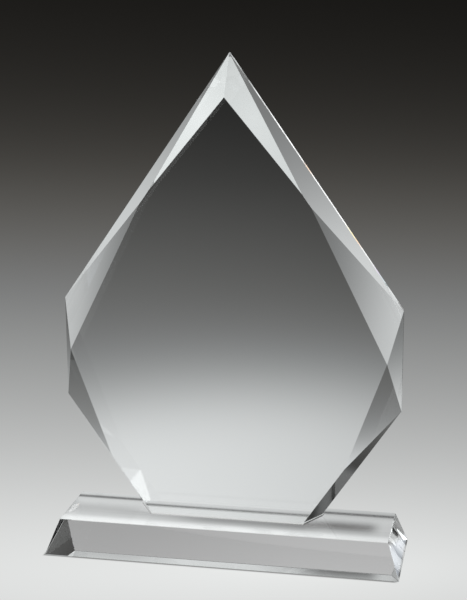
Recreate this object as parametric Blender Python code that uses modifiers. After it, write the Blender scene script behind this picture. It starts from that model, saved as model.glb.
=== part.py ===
"""Clear crystal award: a faceted crystal blade bonded upright on a sloped crystal base.

Units are metres and +Z is up. The award faces -Y and is symmetric about the plane X = 0.
The origin is the centre of the base's underside, where the award stands.

The blade starts as a slab with its full outline. Three grinding planes slope its side faces
inwards towards the front, and three more cut a facet off each front corner. A narrow straight
rim is left along the back. A thin film of clear adhesive joins the blade to the base.
"""

import math

import bmesh
import bpy
from mathutils import Matrix, Vector

# Whole award
AWARD_HEIGHT = 0.254
ASSEMBLY_GAP = 0.0003
ADHESIVE_THICKNESS = 0.0003
ADHESIVE_MARGIN = 0.0003

# Base: a block with four sloping sides
BASE_HEIGHT = 0.0172
BASE_FOOT_LENGTH = 0.182
BASE_FOOT_DEPTH = 0.054
BASE_TOP_LENGTH = 0.1695
BASE_TOP_DEPTH = 0.040

# Blade: thickness, and where its front face stands
BLADE_THICKNESS = 0.016
BACK_RIM_THICKNESS = 0.0025
BLADE_FRONT_Y = -0.004
SIDE_INSET = 0.0065

# Blade outline, right half
BLADE_HALF_WIDTH = 0.0875
UPPER_CORNER_Z = 0.128
LOWER_CORNER_Z = 0.076
BLADE_FOOT_HALF_WIDTH = 0.048

# Facets: heights on the front face, and fractions of a front edge counted from its top end
APEX_FACET_Z = 0.2335
APEX_FACET_END = 0.48
UPPER_FACET_START = 0.53
SIDE_FACET_Z = 0.104
LOWER_FACET_END = 0.50

CUTTER_SIZE = 0.5
MERGE_DISTANCE = 0.00001

BLADE_FOOT_Z = BASE_HEIGHT + 2 * ASSEMBLY_GAP + ADHESIVE_THICKNESS
BLADE_BACK_Y = BLADE_FRONT_Y + BLADE_THICKNESS
RIM_FRONT_Y = BLADE_BACK_Y - BACK_RIM_THICKNESS
BLADE_CENTRE = Vector((0.0, (BLADE_FRONT_Y + BLADE_BACK_Y) / 2, (UPPER_CORNER_Z + LOWER_CORNER_Z) / 2))

# Corners of the outline's right half, as (x, z), from the apex down
APEX = Vector((0.0, AWARD_HEIGHT))
UPPER_CORNER = Vector((BLADE_HALF_WIDTH, UPPER_CORNER_Z))
LOWER_CORNER = Vector((BLADE_HALF_WIDTH, LOWER_CORNER_Z))
FOOT_CORNER = Vector((BLADE_FOOT_HALF_WIDTH, BLADE_FOOT_Z))


def clear_scene():
    for item in list(bpy.data.objects):
        bpy.data.objects.remove(item, do_unlink=True)


def new_collection(name):
    collection = bpy.data.collections.new(name)
    bpy.context.scene.collection.children.link(collection)
    return collection


def clear_material(name, colour, roughness, refraction):
    """A transparent Principled material."""
    material = bpy.data.materials.new(name)
    material.use_nodes = True
    shader = material.node_tree.nodes["Principled BSDF"]
    shader.inputs["Base Color"].default_value = (*colour, 1.0)
    shader.inputs["Metallic"].default_value = 0.0
    shader.inputs["Roughness"].default_value = roughness
    shader.inputs["IOR"].default_value = refraction
    shader.inputs["Transmission Weight"].default_value = 1.0
    return material


def add_mesh_object(name, mesh, collection):
    item = bpy.data.objects.new(name, mesh)
    collection.objects.link(item)
    return item


def extruded_outline(name, points, thickness, placement, collection):
    """A plate with a flat outline: a filled 2D curve, extruded, placed and turned into a mesh."""
    curve = bpy.data.curves.new(name + "_outline", "CURVE")
    curve.dimensions = "2D"
    curve.fill_mode = "BOTH"
    curve.extrude = thickness / 2
    spline = curve.splines.new("POLY")
    spline.points.add(len(points) - 1)
    for target, point in zip(spline.points, points):
        target.co = (point[0], point[1], 0.0, 1.0)
    spline.use_cyclic_u = True
    guide = bpy.data.objects.new(name + "_outline", curve)
    collection.objects.link(guide)
    guide.matrix_world = placement
    bpy.context.view_layer.update()

    evaluated = guide.evaluated_get(bpy.context.evaluated_depsgraph_get())
    mesh = bpy.data.meshes.new_from_object(evaluated)
    mesh.name = name
    bpy.data.objects.remove(guide, do_unlink=True)

    solid = bmesh.new()
    solid.from_mesh(mesh)
    bmesh.ops.remove_doubles(solid, verts=solid.verts, dist=MERGE_DISTANCE)
    bmesh.ops.recalc_face_normals(solid, faces=solid.faces)
    solid.to_mesh(mesh)
    solid.free()

    plate = add_mesh_object(name, mesh, collection)
    plate.matrix_world = placement
    return plate


def in_space(outline_point, y):
    """An (x, z) point of the blade's outline, set at depth y."""
    return Vector((outline_point.x, y, outline_point.y))


def inset_line(start, end):
    """The outline's edge from start to end, moved inwards to where it meets the front face."""
    along = (end - start).normalized()
    inwards = Vector((along.y, -along.x))
    return start + inwards * SIDE_INSET, along


def crossing(first, second):
    """The point where two lines, each a point and a direction, cross."""
    (start, along), (other_start, other_along) = first, second
    across = Vector((-other_along.y, other_along.x))
    return start + along * ((other_start - start).dot(across) / along.dot(across))


def front_points():
    """The named points of the front face's right half, as (x, z)."""
    upper_edge = inset_line(APEX, UPPER_CORNER)
    side_edge = inset_line(UPPER_CORNER, LOWER_CORNER)
    lower_edge = inset_line(LOWER_CORNER, FOOT_CORNER)
    centre_line = (APEX, Vector((0.0, -1.0)))
    foot_line = (FOOT_CORNER, Vector((1.0, 0.0)))
    top = crossing(upper_edge, centre_line)
    upper = crossing(upper_edge, side_edge)
    lower = crossing(side_edge, lower_edge)
    foot = crossing(lower_edge, foot_line)
    return {
        "apex_facet_centre": Vector((0.0, APEX_FACET_Z)),
        "apex_facet_end": top.lerp(upper, APEX_FACET_END),
        "upper_facet_start": top.lerp(upper, UPPER_FACET_START),
        "side": Vector((upper.x, SIDE_FACET_Z)),
        "lower_facet_end": lower.lerp(foot, LOWER_FACET_END),
        "foot": foot,
    }


def grinding_planes(front):
    """Three points on each plane that shapes the blade's right half."""

    def rim(point):
        return in_space(point, RIM_FRONT_Y)

    def face(name):
        return in_space(front[name], BLADE_FRONT_Y)

    return {
        "upper_side": (rim(APEX), rim(UPPER_CORNER), face("apex_facet_end")),
        "middle_side": (rim(UPPER_CORNER), rim(LOWER_CORNER), face("side")),
        "lower_side": (rim(LOWER_CORNER), rim(FOOT_CORNER), face("foot")),
        "apex_facet": (rim(APEX), face("apex_facet_centre"), face("apex_facet_end")),
        "upper_facet": (rim(UPPER_CORNER), face("upper_facet_start"), face("side")),
        "lower_facet": (rim(LOWER_CORNER), face("side"), face("lower_facet_end")),
    }


def add_cutter(name, on_plane, collection):
    """A block that fills the space outside a plane, so that the cut leaves the plane as a face."""
    first, second, third = on_plane
    outwards = (second - first).cross(third - first).normalized()
    if outwards.dot(first - BLADE_CENTRE) < 0:
        outwards.negate()
    block = bmesh.new()
    bmesh.ops.create_cube(block, size=CUTTER_SIZE)
    mesh = bpy.data.meshes.new(name + "_cutter")
    block.to_mesh(mesh)
    block.free()
    cutter = add_mesh_object(name + "_cutter", mesh, collection)
    centre = (first + second + third) / 3 + outwards * CUTTER_SIZE / 2
    turn = Vector((0.0, 0.0, 1.0)).rotation_difference(outwards).to_matrix().to_4x4()
    cutter.matrix_world = Matrix.Translation(centre) @ turn
    cutter.hide_render = True
    cutter.display_type = "WIRE"
    return cutter


def make_blade(parts, cutters, front):
    right_half = [APEX, UPPER_CORNER, LOWER_CORNER, FOOT_CORNER]
    left_half = [Vector((-point.x, point.y)) for point in reversed(right_half[1:])]
    middle_y = (BLADE_FRONT_Y + BLADE_BACK_Y) / 2
    placement = Matrix.Translation((0.0, middle_y, 0.0)) @ Matrix.Rotation(math.pi / 2, 4, "X")
    blade = extruded_outline("crystal_blade", right_half + left_half, BLADE_THICKNESS, placement, parts)
    for name, on_plane in grinding_planes(front).items():
        cut = blade.modifiers.new(name, "BOOLEAN")
        cut.operation = "DIFFERENCE"
        cut.solver = "EXACT"
        cut.object = add_cutter(name, on_plane, cutters)
        weld = blade.modifiers.new(name + "_weld", "WELD")
        weld.merge_threshold = MERGE_DISTANCE
    mirror = blade.modifiers.new("left_half", "MIRROR")
    mirror.use_axis = (True, False, False)
    mirror.use_bisect_axis = (True, False, False)
    mirror.merge_threshold = MERGE_DISTANCE
    blade.data.materials.append(clear_material("blade_crystal", (0.96, 0.98, 0.97), 0.01, 1.52))
    return blade


def make_adhesive(parts, front):
    """A film under the blade, as wide as the blade's underside less a small margin."""
    front_half = front["foot"].x - ADHESIVE_MARGIN
    back_half = BLADE_FOOT_HALF_WIDTH - ADHESIVE_MARGIN
    front_y = BLADE_FRONT_Y + ADHESIVE_MARGIN
    back_y = BLADE_BACK_Y - ADHESIVE_MARGIN
    outline = [
        (-front_half, front_y),
        (front_half, front_y),
        (back_half, RIM_FRONT_Y),
        (back_half, back_y),
        (-back_half, back_y),
        (-back_half, RIM_FRONT_Y),
    ]
    middle_z = BASE_HEIGHT + ASSEMBLY_GAP + ADHESIVE_THICKNESS / 2
    placement = Matrix.Translation((0.0, 0.0, middle_z))
    film = extruded_outline("adhesive_film", outline, ADHESIVE_THICKNESS, placement, parts)
    film.data.materials.append(clear_material("cured_adhesive", (0.95, 0.97, 0.96), 0.05, 1.50))
    return film


def make_base(parts):
    block = bmesh.new()
    bmesh.ops.create_cube(block, size=1.0)
    for corner in block.verts:
        at_top = corner.co.z > 0
        length = BASE_TOP_LENGTH if at_top else BASE_FOOT_LENGTH
        depth = BASE_TOP_DEPTH if at_top else BASE_FOOT_DEPTH
        corner.co = (
            math.copysign(length / 2, corner.co.x),
            math.copysign(depth / 2, corner.co.y),
            BASE_HEIGHT if at_top else 0.0,
        )
    mesh = bpy.data.meshes.new("crystal_base")
    block.to_mesh(mesh)
    block.free()
    base = add_mesh_object("crystal_base", mesh, parts)
    base.data.materials.append(clear_material("base_crystal", (0.95, 0.97, 0.97), 0.01, 1.52))
    return base


def main():
    clear_scene()
    parts = new_collection("crystal_award")
    cutters = new_collection("crystal_award_cutters")
    front = front_points()
    make_base(parts)
    make_adhesive(parts, front)
    make_blade(parts, cutters, front)


main()
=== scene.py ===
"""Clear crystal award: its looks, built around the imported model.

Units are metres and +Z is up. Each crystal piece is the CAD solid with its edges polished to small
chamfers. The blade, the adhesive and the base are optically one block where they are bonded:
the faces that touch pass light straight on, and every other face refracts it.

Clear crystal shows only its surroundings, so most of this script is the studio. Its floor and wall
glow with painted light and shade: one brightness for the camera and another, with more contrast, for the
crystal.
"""

import math
from collections import namedtuple

import bmesh
import bpy
from mathutils import Matrix, Vector


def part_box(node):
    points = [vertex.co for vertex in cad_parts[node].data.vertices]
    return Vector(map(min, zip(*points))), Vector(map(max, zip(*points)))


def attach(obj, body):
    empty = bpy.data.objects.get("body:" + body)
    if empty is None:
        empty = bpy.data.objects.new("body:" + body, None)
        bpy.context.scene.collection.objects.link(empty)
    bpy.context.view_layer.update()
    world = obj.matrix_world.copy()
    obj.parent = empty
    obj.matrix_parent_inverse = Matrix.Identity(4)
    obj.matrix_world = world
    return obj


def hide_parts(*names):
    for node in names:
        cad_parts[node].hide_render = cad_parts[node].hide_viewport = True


# Camera: a little to the right of straight on, and a little above. Angles are in degrees.
CAMERA_TARGET = Vector((0.0034, 0.0, 0.1325))
CAMERA_DISTANCE = 0.7236
CAMERA_AZIMUTH = 11.37
CAMERA_ELEVATION = 13.52
CAMERA_ROLL = -0.29
CAMERA_LENS = 86.93
CAMERA_SENSOR = 36.0

# Crystal and adhesive
CRYSTAL_IOR = 1.52
CRYSTAL_CLEAR = (0.987, 0.990, 0.990)
CRYSTAL_TINTED = (0.979, 0.986, 0.985)
CRYSTAL_ROUGHNESS = 0.01
ADHESIVE_CLEAR = (0.975, 0.980, 0.975)
ADHESIVE_TINTED = (0.950, 0.960, 0.945)
ADHESIVE_ROUGHNESS = 0.06
BONDED_CLEAR = (1.0, 1.0, 1.0)
BONDED_TINTED = (0.995, 0.998, 0.995)
TINT_SCALE = 25.0
POLISH_SCALE = 400.0
SPECKLE_RANGE = (0.4, 0.7)

# Shapes
BLADE_CHAMFER = 0.0001
BASE_CHAMFER = 0.00015
CHAMFER_SEGMENTS = 2
BEAD_SIZE = 0.0004
TOUCH_GAP = 0.00002
WELD_DISTANCE = 0.000005
FLAT_ANGLE = math.radians(0.5)
LEVEL_NORMAL = 0.99

# Stage: a floor that runs up into a round wall
FLOOR_RADIUS = 1.20
FLOOR_DROP = 0.0002
SWEEP_RADIUS = 0.30
WALL_HEIGHT = 0.57
STAGE_SEGMENTS = 128
SWEEP_SEGMENTS = 16
STAGE_WELD = 0.0001

# In what follows, a pair of places along one axis is where a change starts and ends. A pair called
# a bearing is the middle and the half-width, in degrees from +X towards +Y, of a part of the wall.

# Stage as the camera sees it: brightness falls with distance and height
SEEN_CENTRE = Vector((0.041, -0.021))
SEEN_PEAK = 0.824
SEEN_FALL = 2.85
SEEN_SLOWING = 0.338
SEEN_OVAL = 0.338
SEEN_HEIGHT_FALL = 7.18
SEEN_SIDE_FALL = 0.357
SEEN_SIDE_LEAST = 0.5
SEEN_TINT_RANGE = (0.0, 0.22)
SEEN_DIM_TINT = (1.06, 1.0, 0.895, 1.0)
SEEN_BRIGHT_TINT = (0.985, 1.0, 0.993, 1.0)

# Stage as the crystal sees it: a pool of light on the floor, and a fainter light beyond it
POOL_PEAK = 0.477
POOL_RADIUS = 0.295
POOL_EDGE = 5.19
POOL_OVAL = 1.37
POOL_HEIGHT_FALL = 4.0
POOL_SIDE_FALL = 1.46
POOL_SIDE_LEAST = 0.1
POOL_SIDE_MOST = 1.9
FAR_PEAK = 0.244
FAR_FALL = 1.53
LIT_TINT_RANGE = (0.03, 0.25)
LIT_DIM_TINT = (1.0, 1.0, 0.965, 1.0)
LIT_BRIGHT_TINT = (0.975, 1.0, 1.0, 1.0)

# Lighter and darker parts of the wall
LEFT_GLOW = 0.80
LEFT_GLOW_Z = (0.08, 0.45)
LEFT_GLOW_X = (-0.6, -1.4)
LEFT_SHADE = 0.75
LEFT_SHADE_BEARING = (140.0, 6.0)
LEFT_SHADE_FOOT_Z = (0.07, 0.12)
LEFT_SHADE_TOP_Z = (0.31, 0.27)
RIGHT_GLOW = 0.34
RIGHT_GLOW_FALL = 18.0
RIGHT_GLOW_X = (0.5, 1.0)
BACK_GLOW = 0.40
BACK_GLOW_Z = (0.42, 0.50)
BACK_GLOW_BEARING = (108.0, 10.0)

# Floor beside the base's right end: a painted cool light patch, and a painted shade behind it
END_GLOW = 0.75
END_GLOW_NEAR_X = (0.0915, 0.0935)
END_GLOW_FAR_X = (0.15, 0.12)
END_GLOW_FRONT_Y = (-0.055, -0.035)
END_GLOW_BACK_Y = (0.045, 0.030)
END_GLOW_TINT = (0.90, 0.98, 1.10, 1.0)
END_SHADE = 0.85
END_SHADE_X = (0.083, 0.092)
END_SHADE_FRONT_Y = (0.038, 0.048)
END_SHADE_BACK_Y = (0.14, 0.11)

# An upright strip of light on the wall, which the narrow rims catch as a white line with a few
# coloured glints. Each colour comes after the height where it is strongest.
STRIP_PEAK = 2.2
STRIP_BEARING = (77.2, 4.0)
STRIP_BOTTOM_Z = (0.11, 0.13)
STRIP_TOP_Z = (0.47, 0.43)
STRIP_COLOURS = (
    (0.140, (1.0, 1.0, 1.0)),
    (0.149, (0.15, 0.7, 0.85)),
    (0.158, (0.25, 0.5, 0.8)),
    (0.166, (0.6, 0.25, 0.85)),
    (0.178, (1.0, 1.0, 1.0)),
    (0.200, (1.0, 1.0, 1.0)),
    (0.210, (1.0, 0.50, 0.15)),
    (0.224, (1.0, 0.85, 0.25)),
    (0.240, (1.0, 1.0, 1.0)),
    (0.310, (1.0, 1.0, 1.0)),
    (0.324, (1.0, 0.6, 0.3)),
    (0.334, (1.0, 1.0, 1.0)),
)

# Floor under the base, as the crystal sees it: painted caustic light at the front, and a painted
# shadow band along the base, which is cut off straight behind the blade
UNDER_EDGE = (-0.002, 0.0)
FRONT_LIFT = 0.45
FRONT_LIFT_Y = (-0.004, 0.003)
BAND_LEFT_Y = 0.0112
BAND_MIDDLE_Y = 0.0100
BAND_SHIFT = 0.0005
BAND_LEFT_WIDTH = 0.0072
BAND_MIDDLE_WIDTH = 0.0060
BAND_WIDENING = 0.0008
BAND_LEFT_DEPTH = 0.33
BAND_MIDDLE_DEPTH = 0.61
BAND_MIDDLE_X = (-0.05, 0.0)
BAND_SHIFT_X = (0.02, 0.05)
BAND_NARROWING_X = (-0.03, -0.01)
BAND_WIDENING_X = (0.0, 0.05)
BAND_DEPTH_X = (-0.075, 0.0)
BAND_END_X = (0.080, 0.071)
BAND_END_DEPTH = 0.15
BEHIND_BLADE_X = -0.008
BEHIND_BLADE_HALF_WIDTH = 0.042
BEHIND_BLADE_Y = (0.0100, 0.0125)
BLOB_X = 0.058
BLOB_WIDTH = 0.022
BLOB_DEPTH = 0.28
TAIL_Y = 0.0045
TAIL_WIDTH = 0.0042
TAIL_DEPTH = 0.22
TAIL_START_X = (-0.035, -0.01)
TAIL_END_X = (0.036, 0.052)

# Shading along the base's outline, and the line of shadow where the base meets the floor
SOFT_RIM_WIDTH = 0.004
SOFT_RIM_X = (-0.02, 0.07)
SOFT_RIM_LEFT_DEPTH = 0.15
SOFT_RIM_RIGHT_DEPTH = 0.30
SHARP_RIM_INSET = 0.0003
SHARP_RIM_WIDTH = 0.0012
SHARP_RIM_DEPTH = 0.60
CONTACT_WIDTH = 0.0007
CONTACT_DEPTH = 0.70
CONTACT_FADE = 0.003

# Sky above the wall: brighter upwards, darker towards +X and a little darker towards -X. Its pairs
# are parts of a direction, each from -1 to 1, and SKY_LOW is the strength at the first pair.
SKY_LOW_Z = (0.24, 0.36)
SKY_LOW = (0.30, 0.45)
SKY_HIGH_Z = (0.36, 0.50)
SKY_HIGH = 0.27
SKY_RIGHT_X = (0.2, 0.8)
SKY_RIGHT_SHADE = 0.4
SKY_LEFT_X = (-0.11, -0.27)
SKY_LEFT_SHADE = 0.06
SKY_LEAST = 0.02
SKY_COLOUR = (1.0, 1.0, 1.0, 1.0)

# Softboxes that face the blade: azimuth and elevation in degrees, distance, width, height and
# strength. Azimuths are from +X towards +Y.
SOFTBOX_TARGET = Vector((0.0, 0.0, 0.2))
SOFTBOX_COLOUR = (0.95, 1.0, 1.0)
SOFTBOXES = {
    "right_softbox": (-19.0, 38.0, 0.9, 0.42, 0.36, 1.5),
    "left_softbox": (180.0, 27.0, 0.9, 0.42, 0.30, 1.5),
}

# Soft lights with grids: each is bright only from within a few degrees of its axis, so each lights
# one facet. Centre, azimuth and elevation of the way from the blade to it, width, height,
# half-angle of its grid in degrees, and strength.
GRID_LIGHT_COLOUR = (0.955, 1.0, 0.995)
GRID_LIGHTS = {
    "left_apex_light": ((0.036, 0.278, 0.089), 79.6, -25.2, 0.056, 0.098, 12.0, 0.66),
    "right_apex_light": ((-0.137, 0.245, 0.101), 123.0, -22.2, 0.052, 0.100, 12.0, 0.56),
    "left_shoulder_light": ((0.008, 0.096, 0.115), 59.9, -37.2, 0.084, 0.150, 20.0, 0.10),
    "left_side_light": ((-0.051, 0.129, 0.056), 78.9, -7.1, 0.036, 0.058, 10.0, 0.055),
    "foot_glint_light": ((0.2907, -0.0967, 0.2939), -25.6, 41.3, 0.018, 0.021, 8.0, 4.0),
}

# Light paths: light turns many times inside the crystal before it leaves
MOST_BOUNCES = 32
GLOSSY_BOUNCES = 24
INDIRECT_CLAMP = 4.0

# A point of the stage: its coordinates, its bearing, and how far it is outside the base's outline
Place = namedtuple("Place", "x y z bearing outside")


class Graph:
    """A short way to add nodes to a material or world and to join them."""

    def __init__(self, owner):
        owner.use_nodes = True
        self.tree = owner.node_tree
        self.tree.nodes.clear()

    def add(self, kind, **settings):
        node = self.tree.nodes.new(kind)
        for name, value in settings.items():
            setattr(node, name, value)
        return node

    def put(self, value, socket):
        """Sets a socket to a number or colour, or joins another node's output to it."""
        if isinstance(value, bpy.types.NodeSocket):
            self.tree.links.new(value, socket)
        else:
            socket.default_value = value

    def calc(self, operation, *values):
        node = self.add("ShaderNodeMath", operation=operation)
        for socket, value in zip(node.inputs, values):
            self.put(value, socket)
        return node.outputs["Value"]

    def times(self, first, *others):
        """All the values multiplied together."""
        for other in others:
            first = self.calc("MULTIPLY", first, other)
        return first

    def plus(self, first, *others):
        """All the values added together."""
        for other in others:
            first = self.calc("ADD", first, other)
        return first

    def ramp(self, value, start, end, low=0.0, high=1.0):
        """A smooth step from low to high as the value goes from start to end."""
        node = self.add("ShaderNodeMapRange", interpolation_type="SMOOTHSTEP")
        self.put(value, node.inputs["Value"])
        for name, number in (("From Min", start), ("From Max", end), ("To Min", low), ("To Max", high)):
            node.inputs[name].default_value = number
        return node.outputs["Result"]

    def bell(self, value, centre, width):
        """1 at the centre, falling to 0 on both sides."""
        offset = self.calc("DIVIDE", self.calc("SUBTRACT", value, centre), width)
        return self.calc("EXPONENT", self.times(offset, offset, -1.0))

    def plateau(self, value, centre, half_width):
        """1 around the centre, falling to 0 at about the half-width on both sides."""
        offset = self.calc("DIVIDE", self.calc("SUBTRACT", value, centre), half_width)
        fourth_power = self.calc("POWER", self.calc("ABSOLUTE", offset), 4.0)
        return self.calc("EXPONENT", self.times(fourth_power, -1.0))

    def colours(self, value, stops):
        """A colour that goes from stop to stop as the value rises."""
        node = self.add("ShaderNodeValToRGB")
        self.put(value, node.inputs["Fac"])
        elements = node.color_ramp.elements
        while len(elements) < len(stops):
            elements.new(1.0)
        for element, (position, colour) in zip(elements, stops):
            element.position = position
            element.color = (*colour, 1.0)
        return node.outputs["Color"]

    def speckle(self, scale, low, high):
        """Fine irregular variation between two numbers."""
        noise = self.add("ShaderNodeTexNoise")
        noise.inputs["Scale"].default_value = scale
        self.put(self.add("ShaderNodeTexCoord").outputs["Object"], noise.inputs["Vector"])
        return self.ramp(noise.outputs["Fac"], *SPECKLE_RANGE, low, high)

    def blend(self, factor, first, second):
        """A colour between two colours."""
        node = self.add("ShaderNodeMix", data_type="RGBA")
        self.put(factor, node.inputs["Factor"])
        colours = [s for s in node.inputs if s.type == "RGBA"]
        self.put(first, colours[0])
        self.put(second, colours[1])
        return next(s for s in node.outputs if s.type == "RGBA")

    def tint(self, clear, tinted):
        """A colour that varies a little from place to place."""
        return self.blend(self.speckle(TINT_SCALE, 0.0, 1.0), (*clear, 1.0), (*tinted, 1.0))


def node_mesh(node):
    """A copy of a CAD node's surface, welded and with its flat faces whole."""
    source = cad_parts[node]
    surface = bmesh.new()
    surface.from_mesh(source.data)
    surface.transform(source.matrix_world)
    bmesh.ops.remove_doubles(surface, verts=surface.verts, dist=WELD_DISTANCE)
    bmesh.ops.dissolve_limit(
        surface,
        angle_limit=FLAT_ANGLE,
        verts=surface.verts,
        edges=surface.edges,
        use_dissolve_boundaries=False,
    )
    bmesh.ops.recalc_face_normals(surface, faces=surface.faces)
    return surface


def add_piece(name, surface, materials):
    mesh = bpy.data.meshes.new(name)
    surface.to_mesh(mesh)
    surface.free()
    for material in materials:
        mesh.materials.append(material)
    piece = bpy.data.objects.new(name, mesh)
    bpy.context.scene.collection.objects.link(piece)
    return piece


def glass_material(name, clear, tinted, roughness):
    """Clear glass whose tint and polish vary a little from place to place."""
    material = bpy.data.materials.new(name)
    graph = Graph(material)
    shader = graph.add("ShaderNodeBsdfPrincipled")
    graph.put(graph.tint(clear, tinted), shader.inputs["Base Color"])
    graph.put(graph.speckle(POLISH_SCALE, 0.0, roughness), shader.inputs["Roughness"])
    shader.inputs["IOR"].default_value = CRYSTAL_IOR
    shader.inputs["Transmission Weight"].default_value = 1.0
    graph.put(shader.outputs["BSDF"], graph.add("ShaderNodeOutputMaterial").inputs["Surface"])
    return material


def bonded_material():
    """Clear all the way: light goes on through a bonded face without bending."""
    material = bpy.data.materials.new("bonded_face")
    graph = Graph(material)
    shader = graph.add("ShaderNodeBsdfTransparent")
    graph.put(graph.tint(BONDED_CLEAR, BONDED_TINTED), shader.inputs["Color"])
    graph.put(shader.outputs["BSDF"], graph.add("ShaderNodeOutputMaterial").inputs["Surface"])
    return material


def chamfer(surface, edges, width):
    bmesh.ops.bevel(
        surface,
        geom=edges,
        offset=width,
        offset_type="OFFSET",
        segments=CHAMFER_SEGMENTS,
        profile=0.5,
        affect="EDGES",
        clamp_overlap=True,
    )


def make_blade(materials):
    """The blade: every edge above its foot is chamfered, but for the ridge on the centre line."""
    surface = node_mesh("crystal_blade")
    foot_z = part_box("crystal_blade")[0].z
    above_foot = [e for e in surface.edges if max(v.co.z for v in e.verts) > foot_z + BLADE_CHAMFER]
    edges = [e for e in above_foot if max(abs(v.co.x) for v in e.verts) > WELD_DISTANCE]
    chamfer(surface, edges, BLADE_CHAMFER)
    for face in surface.faces:
        at_foot = face.calc_center_median().z < foot_z + BLADE_CHAMFER
        face.material_index = int(face.normal.z < -LEVEL_NORMAL and at_foot)
    blade = add_piece("blade", surface, materials)
    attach(blade, "root")
    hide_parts("crystal_blade")
    return blade


def with_edges_and_corners(faces):
    """The faces, their edges and their corners, each once and in a fixed order."""
    edges = dict.fromkeys(e for f in faces for e in f.edges)
    corners = dict.fromkeys(v for f in faces for v in f.verts)
    return [*faces, *edges, *corners]


def make_base(materials, footprint):
    """The base: its top is cut along the blade's footprint, so that the bonded part is a face."""
    surface = node_mesh("crystal_base")
    chamfer(surface, list(surface.edges), BASE_CHAMFER)
    top_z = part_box("crystal_base")[1].z
    sides = list(zip(footprint, footprint[1:] + footprint[:1]))
    for start, end in sides:
        top = [f for f in surface.faces if f.normal.z > LEVEL_NORMAL]
        along = end - start
        bmesh.ops.bisect_plane(
            surface,
            geom=with_edges_and_corners(top),
            plane_co=(start.x, start.y, top_z),
            plane_no=(along.y, -along.x, 0.0),
        )
    for face in surface.faces:
        centre = face.calc_center_median()
        inside = all((end - start).xy.cross(centre.xy - start.xy) > 0 for start, end in sides)
        face.material_index = int(inside and face.normal.z > LEVEL_NORMAL)
    base = add_piece("base", surface, materials)
    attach(base, "root")
    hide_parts("crystal_base")
    return base


def blade_footprint():
    """The corners of the blade's underside, anticlockwise from the front left."""
    surface = node_mesh("crystal_blade")
    foot_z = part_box("crystal_blade")[0].z
    corners = [v.co.copy() for v in surface.verts if v.co.z < foot_z + BLADE_CHAMFER]
    surface.free()
    middle = sum(corners, Vector()) / len(corners)
    corners.sort(key=lambda c: math.atan2(c.y - middle.y, c.x - middle.x))
    return corners


def moved_outwards(corners, distance):
    """The corners of the same outline with every side moved outwards."""
    moved = []
    count = len(corners)
    for i, corner in enumerate(corners):
        before = (corner - corners[i - 1]).xy.normalized()
        after = (corners[(i + 1) % count] - corner).xy.normalized()
        outwards = Vector((before.y + after.y, -before.x - after.x)).normalized()
        reach = distance / outwards.dot(Vector((before.y, -before.x)))
        moved.append(Vector((corner.x + outwards.x * reach, corner.y + outwards.y * reach, corner.z)))
    return moved


def add_bead(surface, footprint, low_z):
    """The small bead of adhesive squeezed out along the joint: a closed ring with three sides."""
    inner = moved_outwards(footprint, TOUCH_GAP)
    outer = moved_outwards(footprint, TOUCH_GAP + BEAD_SIZE)
    high_z = low_z + BEAD_SIZE
    rings = [
        [surface.verts.new((c.x, c.y, low_z)) for c in inner],
        [surface.verts.new((c.x, c.y, low_z)) for c in outer],
        [surface.verts.new((c.x, c.y, high_z)) for c in inner],
    ]
    count = len(footprint)
    for first, second in ((0, 1), (1, 2), (2, 0)):
        for i in range(count):
            j = (i + 1) % count
            surface.faces.new((rings[first][i], rings[first][j], rings[second][j], rings[second][i]))


def make_adhesive(materials, footprint):
    """The cured film, which fills the joint, and its bead."""
    top_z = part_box("crystal_blade")[0].z - TOUCH_GAP
    bottom_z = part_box("crystal_base")[1].z + TOUCH_GAP
    surface = bmesh.new()
    top = [surface.verts.new((c.x, c.y, top_z)) for c in footprint]
    bottom = [surface.verts.new((c.x, c.y, bottom_z)) for c in footprint]
    surface.faces.new(top).material_index = 1
    surface.faces.new(list(reversed(bottom))).material_index = 1
    count = len(footprint)
    for i in range(count):
        j = (i + 1) % count
        surface.faces.new((bottom[i], bottom[j], top[j], top[i]))
    add_bead(surface, footprint, bottom_z)
    bmesh.ops.recalc_face_normals(surface, faces=surface.faces)
    film = add_piece("adhesive", surface, materials)
    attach(film, "root")
    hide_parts("adhesive_film")
    return film


def stage_place(graph):
    """Where a point of the stage is, as outputs of nodes."""
    position = graph.add("ShaderNodeNewGeometry").outputs["Position"]
    split = graph.add("ShaderNodeSeparateXYZ")
    graph.put(position, split.inputs["Vector"])
    x, y, z = (split.outputs[axis] for axis in "XYZ")
    bearing = graph.calc("DEGREES", graph.calc("ARCTAN2", y, x))
    base_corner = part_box("crystal_base")[1]
    beside = graph.calc("SUBTRACT", graph.calc("ABSOLUTE", x), base_corner.x)
    before = graph.calc("SUBTRACT", graph.calc("ABSOLUTE", y), base_corner.y)
    return Place(x, y, z, bearing, graph.calc("MAXIMUM", beside, before))


def seen_light(graph, place):
    """What the camera sees: a pale floor that falls away to a dark wall."""
    calc = graph.calc
    turn = math.radians(CAMERA_AZIMUTH)
    off_x = calc("SUBTRACT", place.x, SEEN_CENTRE.x)
    off_y = calc("SUBTRACT", place.y, SEEN_CENTRE.y)
    sideways = graph.plus(graph.times(off_x, math.cos(turn)), graph.times(off_y, math.sin(turn)))
    away = graph.plus(graph.times(off_y, math.cos(turn)), graph.times(off_x, -math.sin(turn)))
    narrow = graph.times(sideways, SEEN_OVAL)
    oval = calc("SQRT", graph.plus(graph.times(narrow, narrow), graph.times(away, away)))
    oval = calc("MULTIPLY_ADD", place.z, SEEN_HEIGHT_FALL, oval)
    slowing = calc("MULTIPLY_ADD", oval, SEEN_SLOWING, 1.0)
    light = calc("EXPONENT", calc("DIVIDE", graph.times(oval, -SEEN_FALL), slowing))
    side = calc("MAXIMUM", calc("MULTIPLY_ADD", sideways, -SEEN_SIDE_FALL, 1.0), SEEN_SIDE_LEAST)
    return graph.times(light, side, SEEN_PEAK)


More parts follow.
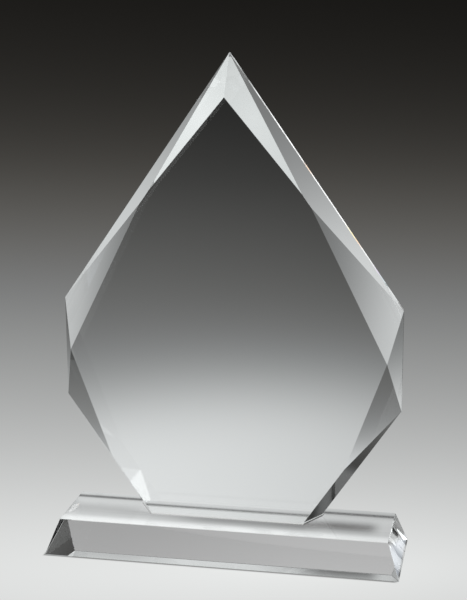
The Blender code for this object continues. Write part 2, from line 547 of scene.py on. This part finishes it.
def pool_light(graph, place):
    """A pool of light around the award, with a fainter light beyond it, both stronger on the left."""
    calc = graph.calc
    wide_x = graph.times(place.x, POOL_OVAL)
    across = calc("SQRT", graph.plus(graph.times(wide_x, wide_x), graph.times(place.y, place.y)))
    reach = calc("MULTIPLY_ADD", place.z, POOL_HEIGHT_FALL, across)
    edge = calc("POWER", calc("DIVIDE", reach, POOL_RADIUS), POOL_EDGE)
    pool = calc("DIVIDE", POOL_PEAK, graph.plus(edge, 1.0))
    far = graph.times(calc("EXPONENT", graph.times(reach, -FAR_FALL)), FAR_PEAK)
    side = calc("MAXIMUM", calc("MULTIPLY_ADD", place.x, -POOL_SIDE_FALL, 1.0), POOL_SIDE_LEAST)
    side = calc("MINIMUM", side, POOL_SIDE_MOST)
    return graph.times(graph.plus(pool, far), side)


def side_glows(graph, place):
    """Glows at the far left and right, the right one low on the wall."""
    left = graph.times(
        graph.ramp(place.z, *LEFT_GLOW_Z),
        graph.ramp(place.x, *LEFT_GLOW_X, 0.0, LEFT_GLOW),
    )
    right = graph.times(
        graph.calc("EXPONENT", graph.times(place.z, -RIGHT_GLOW_FALL)),
        graph.ramp(place.x, *RIGHT_GLOW_X, 0.0, RIGHT_GLOW),
    )
    return graph.plus(left, right)


def end_shade(graph, place):
    """A factor that paints shade on the floor behind the base's right end."""
    depth = graph.times(
        graph.ramp(place.x, *END_SHADE_X),
        graph.ramp(place.y, *END_SHADE_FRONT_Y),
        graph.ramp(place.y, *END_SHADE_BACK_Y, 0.0, -END_SHADE),
    )
    return graph.plus(depth, 1.0)


def end_glow(graph, place):
    """A painted patch of light on the floor beside the base's right end."""
    return graph.times(
        graph.ramp(place.x, *END_GLOW_NEAR_X),
        graph.ramp(place.x, *END_GLOW_FAR_X),
        graph.ramp(place.y, *END_GLOW_FRONT_Y),
        graph.ramp(place.y, *END_GLOW_BACK_Y, 0.0, END_GLOW),
    )


def left_shade(graph, place):
    """A factor that darkens the wall low down at the back left."""
    depth = graph.times(
        graph.plateau(place.bearing, *LEFT_SHADE_BEARING),
        graph.ramp(place.z, *LEFT_SHADE_TOP_Z, 0.0, -LEFT_SHADE),
        graph.ramp(place.z, *LEFT_SHADE_FOOT_Z),
    )
    return graph.plus(depth, 1.0)


def back_glow(graph, place):
    """A glow at the top of the wall behind the award."""
    height = graph.ramp(place.z, *BACK_GLOW_Z, 0.0, BACK_GLOW)
    return graph.times(height, graph.plateau(place.bearing, *BACK_GLOW_BEARING))


def wall_strip(graph, place):
    """1 on the upright strip of light, and 0 elsewhere."""
    height = graph.times(graph.ramp(place.z, *STRIP_BOTTOM_Z), graph.ramp(place.z, *STRIP_TOP_Z))
    return graph.times(height, graph.plateau(place.bearing, *STRIP_BEARING))


def painted_shadow_band(graph, place):
    """How deep the painted shadow band under the base is: deepest in a blob near its right end."""
    x, y = place.x, place.y
    middle = graph.plus(
        graph.ramp(x, *BAND_MIDDLE_X, BAND_LEFT_Y, BAND_MIDDLE_Y),
        graph.ramp(x, *BAND_SHIFT_X, 0.0, BAND_SHIFT),
    )
    width = graph.plus(
        graph.ramp(x, *BAND_NARROWING_X, BAND_LEFT_WIDTH, BAND_MIDDLE_WIDTH),
        graph.ramp(x, *BAND_WIDENING_X, 0.0, BAND_WIDENING),
    )
    behind_blade = graph.times(
        graph.plateau(x, BEHIND_BLADE_X, BEHIND_BLADE_HALF_WIDTH),
        graph.ramp(y, *BEHIND_BLADE_Y),
    )
    band = graph.times(graph.bell(y, middle, width), graph.calc("SUBTRACT", 1.0, behind_blade))
    blob = graph.times(graph.bell(x, BLOB_X, BLOB_WIDTH), BLOB_DEPTH)
    depth = graph.plus(blob, graph.ramp(x, *BAND_DEPTH_X, BAND_LEFT_DEPTH, BAND_MIDDLE_DEPTH))
    depth = graph.times(depth, graph.ramp(x, *BAND_END_X, BAND_END_DEPTH, 1.0))
    tail = graph.times(
        graph.bell(y, TAIL_Y, TAIL_WIDTH),
        graph.ramp(x, *TAIL_START_X, 0.0, TAIL_DEPTH),
        graph.ramp(x, *TAIL_END_X, 1.0, 0.0),
    )
    return graph.plus(graph.times(band, depth), tail)


def under_base(graph, place):
    """A factor for the floor under the base: painted caustic light in front, painted shadow in the band.
    """
    under = graph.ramp(place.outside, *UNDER_EDGE, 1.0, 0.0)
    front = graph.times(graph.ramp(place.y, *FRONT_LIFT_Y, FRONT_LIFT, 0.0), under)
    darkness = graph.times(painted_shadow_band(graph, place), under)
    return graph.times(graph.plus(front, 1.0), graph.calc("SUBTRACT", 1.0, darkness))


def base_rim(graph, place):
    """A factor that paints shade on the floor along the base's outline."""
    soft = graph.times(
        graph.bell(place.outside, 0.0, SOFT_RIM_WIDTH),
        graph.ramp(place.x, *SOFT_RIM_X, -SOFT_RIM_LEFT_DEPTH, -SOFT_RIM_RIGHT_DEPTH),
    )
    sharp = graph.times(graph.bell(place.outside, -SHARP_RIM_INSET, SHARP_RIM_WIDTH), -SHARP_RIM_DEPTH)
    return graph.times(graph.plus(soft, 1.0), graph.plus(sharp, 1.0))


def contact_shadow(graph, place):
    """A factor for the thin shadow round the base's foot, which fades out at the right end."""
    end_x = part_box("crystal_base")[1].x
    fade = graph.ramp(place.x, end_x - CONTACT_FADE, end_x, -CONTACT_DEPTH, 0.0)
    return graph.plus(graph.times(graph.bell(place.outside, 0.0, CONTACT_WIDTH), fade), 1.0)


def stage_material():
    """The studio's floor and wall, which glow with one pattern for the camera and one for the crystal."""
    material = bpy.data.materials.new("stage")
    graph = Graph(material)
    place = stage_place(graph)

    seen = seen_light(graph, place)
    seen_tint = graph.blend(graph.ramp(seen, *SEEN_TINT_RANGE), SEEN_DIM_TINT, SEEN_BRIGHT_TINT)

    patch = end_glow(graph, place)
    strip = wall_strip(graph, place)
    lit = graph.plus(pool_light(graph, place), side_glows(graph, place))
    lit = graph.plus(graph.times(lit, end_shade(graph, place)), patch)
    lit = graph.plus(graph.times(lit, left_shade(graph, place)), back_glow(graph, place))
    lit = graph.plus(lit, graph.times(strip, STRIP_PEAK))
    lit = graph.times(lit, under_base(graph, place), base_rim(graph, place))
    lit_tint = graph.blend(graph.ramp(lit, *LIT_TINT_RANGE), LIT_DIM_TINT, LIT_BRIGHT_TINT)
    lit_tint = graph.blend(patch, lit_tint, END_GLOW_TINT)
    lit_tint = graph.blend(strip, lit_tint, graph.colours(place.z, STRIP_COLOURS))

    from_camera = graph.add("ShaderNodeLightPath").outputs["Is Camera Ray"]
    choose = graph.add("ShaderNodeMix", data_type="FLOAT")
    graph.put(from_camera, choose.inputs["Factor"])
    graph.put(lit, choose.inputs["A"])
    graph.put(seen, choose.inputs["B"])
    glow = graph.add("ShaderNodeEmission")
    graph.put(graph.times(choose.outputs["Result"], contact_shadow(graph, place)), glow.inputs["Strength"])
    graph.put(graph.blend(from_camera, lit_tint, seen_tint), glow.inputs["Color"])
    graph.put(glow.outputs["Emission"], graph.add("ShaderNodeOutputMaterial").inputs["Surface"])
    return material


def make_stage():
    """A floor and a round wall, turned from one profile about the Z axis."""
    profile = [Vector((0.0, 0.0, 0.0)), Vector((FLOOR_RADIUS, 0.0, 0.0))]
    for step in range(1, SWEEP_SEGMENTS + 1):
        turn = step / SWEEP_SEGMENTS * math.pi / 2
        x = FLOOR_RADIUS + SWEEP_RADIUS * math.sin(turn)
        z = SWEEP_RADIUS * (1 - math.cos(turn))
        profile.append(Vector((x, 0.0, z)))
    profile.append(Vector((FLOOR_RADIUS + SWEEP_RADIUS, 0.0, WALL_HEIGHT)))
    surface = bmesh.new()
    points = [surface.verts.new(p) for p in profile]
    edges = [surface.edges.new(pair) for pair in zip(points, points[1:])]
    bmesh.ops.spin(
        surface,
        geom=points + edges,
        cent=(0.0, 0.0, 0.0),
        axis=(0.0, 0.0, 1.0),
        angle=math.tau,
        steps=STAGE_SEGMENTS,
        use_merge=True,
    )
    bmesh.ops.remove_doubles(surface, verts=surface.verts, dist=STAGE_WELD)
    for face in surface.faces:
        face.smooth = True
    bmesh.ops.translate(surface, verts=surface.verts, vec=(0.0, 0.0, -FLOOR_DROP))
    stage = add_piece("stage", surface, [stage_material()])
    return stage


def direction(azimuth, elevation):
    """A unit vector. The azimuth is from +X towards +Y, and both angles are in degrees."""
    turn, rise = math.radians(azimuth), math.radians(elevation)
    return Vector((math.cos(turn) * math.cos(rise), math.sin(turn) * math.cos(rise), math.sin(rise)))


def add_area_light(name, centre, target, width, height, colour, strength):
    """A rectangular light that faces a target and that the camera doesn't see."""
    light = bpy.data.lights.new(name, "AREA")
    light.shape = "RECTANGLE"
    light.size = width
    light.size_y = height
    light.color = colour
    light.energy = strength * width * height * math.pi
    item = bpy.data.objects.new(name, light)
    item.visible_camera = False
    bpy.context.scene.collection.objects.link(item)
    item.location = centre
    item.rotation_euler = (target - centre).to_track_quat("-Z", "Y").to_euler()
    return light


def add_softbox(name, azimuth, elevation, distance, width, height, strength):
    centre = SOFTBOX_TARGET + distance * direction(azimuth, elevation)
    add_area_light(name, centre, SOFTBOX_TARGET, width, height, SOFTBOX_COLOUR, strength)


def add_grid_light(name, centre, azimuth, elevation, width, height, half_angle, strength):
    """A soft light with a grid. Its energy is less than a softbox's by what the grid holds back."""
    centre = Vector(centre)
    target = centre - direction(azimuth, elevation)
    spread = math.radians(half_angle)
    passed = 1 - spread / math.tan(spread)
    light = add_area_light(name, centre, target, width, height, GRID_LIGHT_COLOUR, strength * passed)
    light.spread = 2 * spread


def make_lights():
    for name, settings in SOFTBOXES.items():
        add_softbox(name, *settings)
    for name, settings in GRID_LIGHTS.items():
        add_grid_light(name, *settings)


def make_sky():
    """The studio above the wall."""
    world = bpy.data.worlds.new("studio")
    graph = Graph(world)
    split = graph.add("ShaderNodeSeparateXYZ")
    graph.put(graph.add("ShaderNodeTexCoord").outputs["Generated"], split.inputs["Vector"])
    x, z = split.outputs["X"], split.outputs["Z"]
    strength = graph.plus(
        graph.ramp(z, *SKY_LOW_Z, *SKY_LOW),
        graph.ramp(z, *SKY_HIGH_Z, 0.0, SKY_HIGH),
        graph.ramp(x, *SKY_RIGHT_X, 0.0, -SKY_RIGHT_SHADE),
        graph.ramp(x, *SKY_LEFT_X, 0.0, -SKY_LEFT_SHADE),
    )
    background = graph.add("ShaderNodeBackground")
    graph.put(graph.calc("MAXIMUM", strength, SKY_LEAST), background.inputs["Strength"])
    background.inputs["Color"].default_value = SKY_COLOUR
    graph.put(background.outputs["Background"], graph.add("ShaderNodeOutputWorld").inputs["Surface"])
    bpy.context.scene.world = world


def make_camera():
    """The camera. Its azimuth is from -Y towards +X."""
    camera = bpy.data.cameras.new("camera")
    camera.lens = CAMERA_LENS
    camera.sensor_width = CAMERA_SENSOR
    item = bpy.data.objects.new("camera", camera)
    bpy.context.scene.collection.objects.link(item)
    back = direction(CAMERA_AZIMUTH - 90.0, CAMERA_ELEVATION)
    item.location = CAMERA_TARGET + back * CAMERA_DISTANCE
    look = (-back).to_track_quat("-Z", "Y").to_matrix().to_4x4()
    roll = Matrix.Rotation(math.radians(CAMERA_ROLL), 4, "Z")
    item.rotation_euler = (look @ roll).to_euler()
    bpy.context.scene.camera = item


def set_light_paths():
    cycles = bpy.context.scene.cycles
    cycles.max_bounces = MOST_BOUNCES
    cycles.glossy_bounces = GLOSSY_BOUNCES
    cycles.transmission_bounces = MOST_BOUNCES
    cycles.transparent_max_bounces = MOST_BOUNCES
    cycles.sample_clamp_indirect = INDIRECT_CLAMP


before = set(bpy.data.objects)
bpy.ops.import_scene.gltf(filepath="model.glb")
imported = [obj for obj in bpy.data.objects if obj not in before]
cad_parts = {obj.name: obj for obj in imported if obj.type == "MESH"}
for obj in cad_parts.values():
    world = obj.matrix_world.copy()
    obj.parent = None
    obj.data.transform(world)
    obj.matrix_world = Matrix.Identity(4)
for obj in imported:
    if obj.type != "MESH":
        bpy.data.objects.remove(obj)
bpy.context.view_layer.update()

bpy.context.scene.view_settings.view_transform = "Standard"
set_light_paths()
make_camera()
crystal = glass_material("crystal", CRYSTAL_CLEAR, CRYSTAL_TINTED, CRYSTAL_ROUGHNESS)
adhesive = glass_material("adhesive", ADHESIVE_CLEAR, ADHESIVE_TINTED, ADHESIVE_ROUGHNESS)
bonded = bonded_material()
footprint = blade_footprint()
make_blade([crystal, bonded])
make_base([crystal, bonded], footprint)
make_adhesive([adhesive, bonded], footprint)
make_stage()
make_sky()
make_lights()
